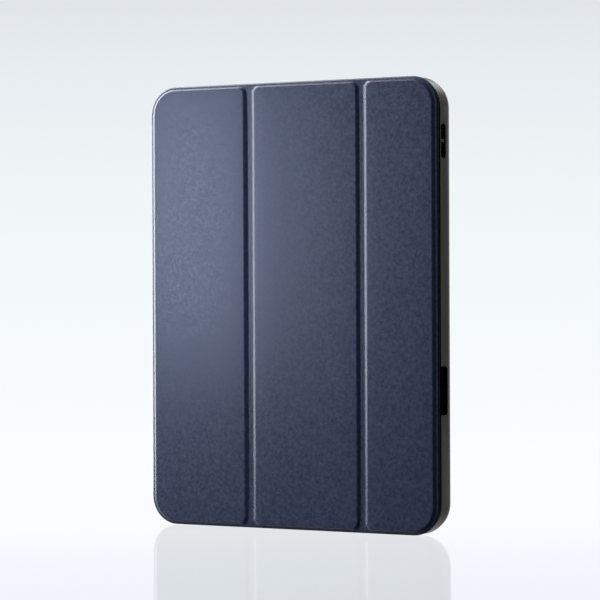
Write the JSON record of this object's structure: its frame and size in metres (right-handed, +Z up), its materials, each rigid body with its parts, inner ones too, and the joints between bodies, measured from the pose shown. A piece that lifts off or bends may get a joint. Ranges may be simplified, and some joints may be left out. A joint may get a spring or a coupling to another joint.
{
  "type": "tablet folio case",
  "caption": "Folio case for an 11 inch tablet: moulded tray, and a padded three-panel cover on a folding spine that rolls into a stand.",
  "frame": {"origin": "centre of the case's footprint, on the surface that its lower edge stands on", "axes": "+Z up the case, +X from the spine to the free edge, +Y from the cover's front to the tray's back"},
  "size_m": [0.188, 0.0166, 0.254],
  "materials": {
    "skin": "fine grain synthetic leather, navy, satin",
    "microfibre": "brushed microfibre, charcoal",
    "board": "fibre board, raw",
    "tray": "moulded, satin, smoke brown",
    "ring": "polished, black",
    "cushion": "closed-cell foam",
    "tape": "double-sided adhesive film",
    "magnet": "nickel plated"
  },
  "bodies": {
    "tray": {"tray_shell": "tray", "camera_ring": "ring", "cushion_pad": "cushion", "tray_lining": "microfibre", "back_flap_skin": "skin", "flap_tape": "tape"},
    "spine": {"spine_skin": "skin", "spine_board": "board", "spine_lining": "microfibre", "rear_fold_skin": "skin", "rear_fold_lining": "microfibre"},
    "front_fold": {"front_fold_skin": "skin", "front_fold_lining": "microfibre"},
    "panel_1": {"panel_1_skin": "skin", "panel_1_board": "board", "panel_1_lining": "microfibre", "stand_magnets": "magnet", "fold_1_skin": "skin", "fold_1_lining": "microfibre"},
    "panel_2": {"panel_2_skin": "skin", "panel_2_board": "board", "panel_2_lining": "microfibre", "fold_2_skin": "skin", "fold_2_lining": "microfibre"},
    "panel_3": {"panel_3_skin": "skin", "panel_3_board": "board", "panel_3_lining": "microfibre", "closure_magnets": "magnet", "wake_magnet": "magnet"}
  },
  "joints": [
    {"name": "spine_opening", "type": "hinge", "parent": "tray", "child": "spine", "pos_m": [-0.0936, 0.0079, 0.127], "axis": [0, 0, -1], "range_deg": [0, 90], "deforming": ["rear_fold_skin", "rear_fold_lining"]},
    {"name": "cover_opening", "type": "hinge", "parent": "spine", "child": "front_fold", "pos_m": [-0.0943, -0.0076, 0.127], "axis": [0, 0, -1], "range_deg": [0, 90], "deforming": ["front_fold_skin", "front_fold_lining"]},
    {"name": "stand_roll", "type": "hinge", "parent": "front_fold", "child": "panel_1", "pos_m": [-0.0916, -0.0079, 0.127], "axis": [0, 0, -1], "range_deg": [0, 179.8]},
    {"name": "fold_1", "type": "hinge", "parent": "panel_1", "child": "panel_2", "pos_m": [-0.0271, -0.0059, 0.127], "axis": [0, 0, 1], "range_deg": [0, 138.7], "deforming": ["fold_1_skin", "fold_1_lining"]},
    {"name": "fold_2", "type": "hinge", "parent": "panel_2", "child": "panel_3", "pos_m": [0.0457, -0.0059, 0.127], "axis": [0, 0, 1], "range_deg": [0, 121.4], "deforming": ["fold_2_skin", "fold_2_lining"]}
  ],
  "couplings": [
    {"joint": "cover_opening", "follows": "spine_opening", "ratio": 1},
    {"joint": "fold_1", "follows": "stand_roll", "ratio": 0.7714},
    {"joint": "fold_2", "follows": "stand_roll", "ratio": 0.67519}
  ]
}
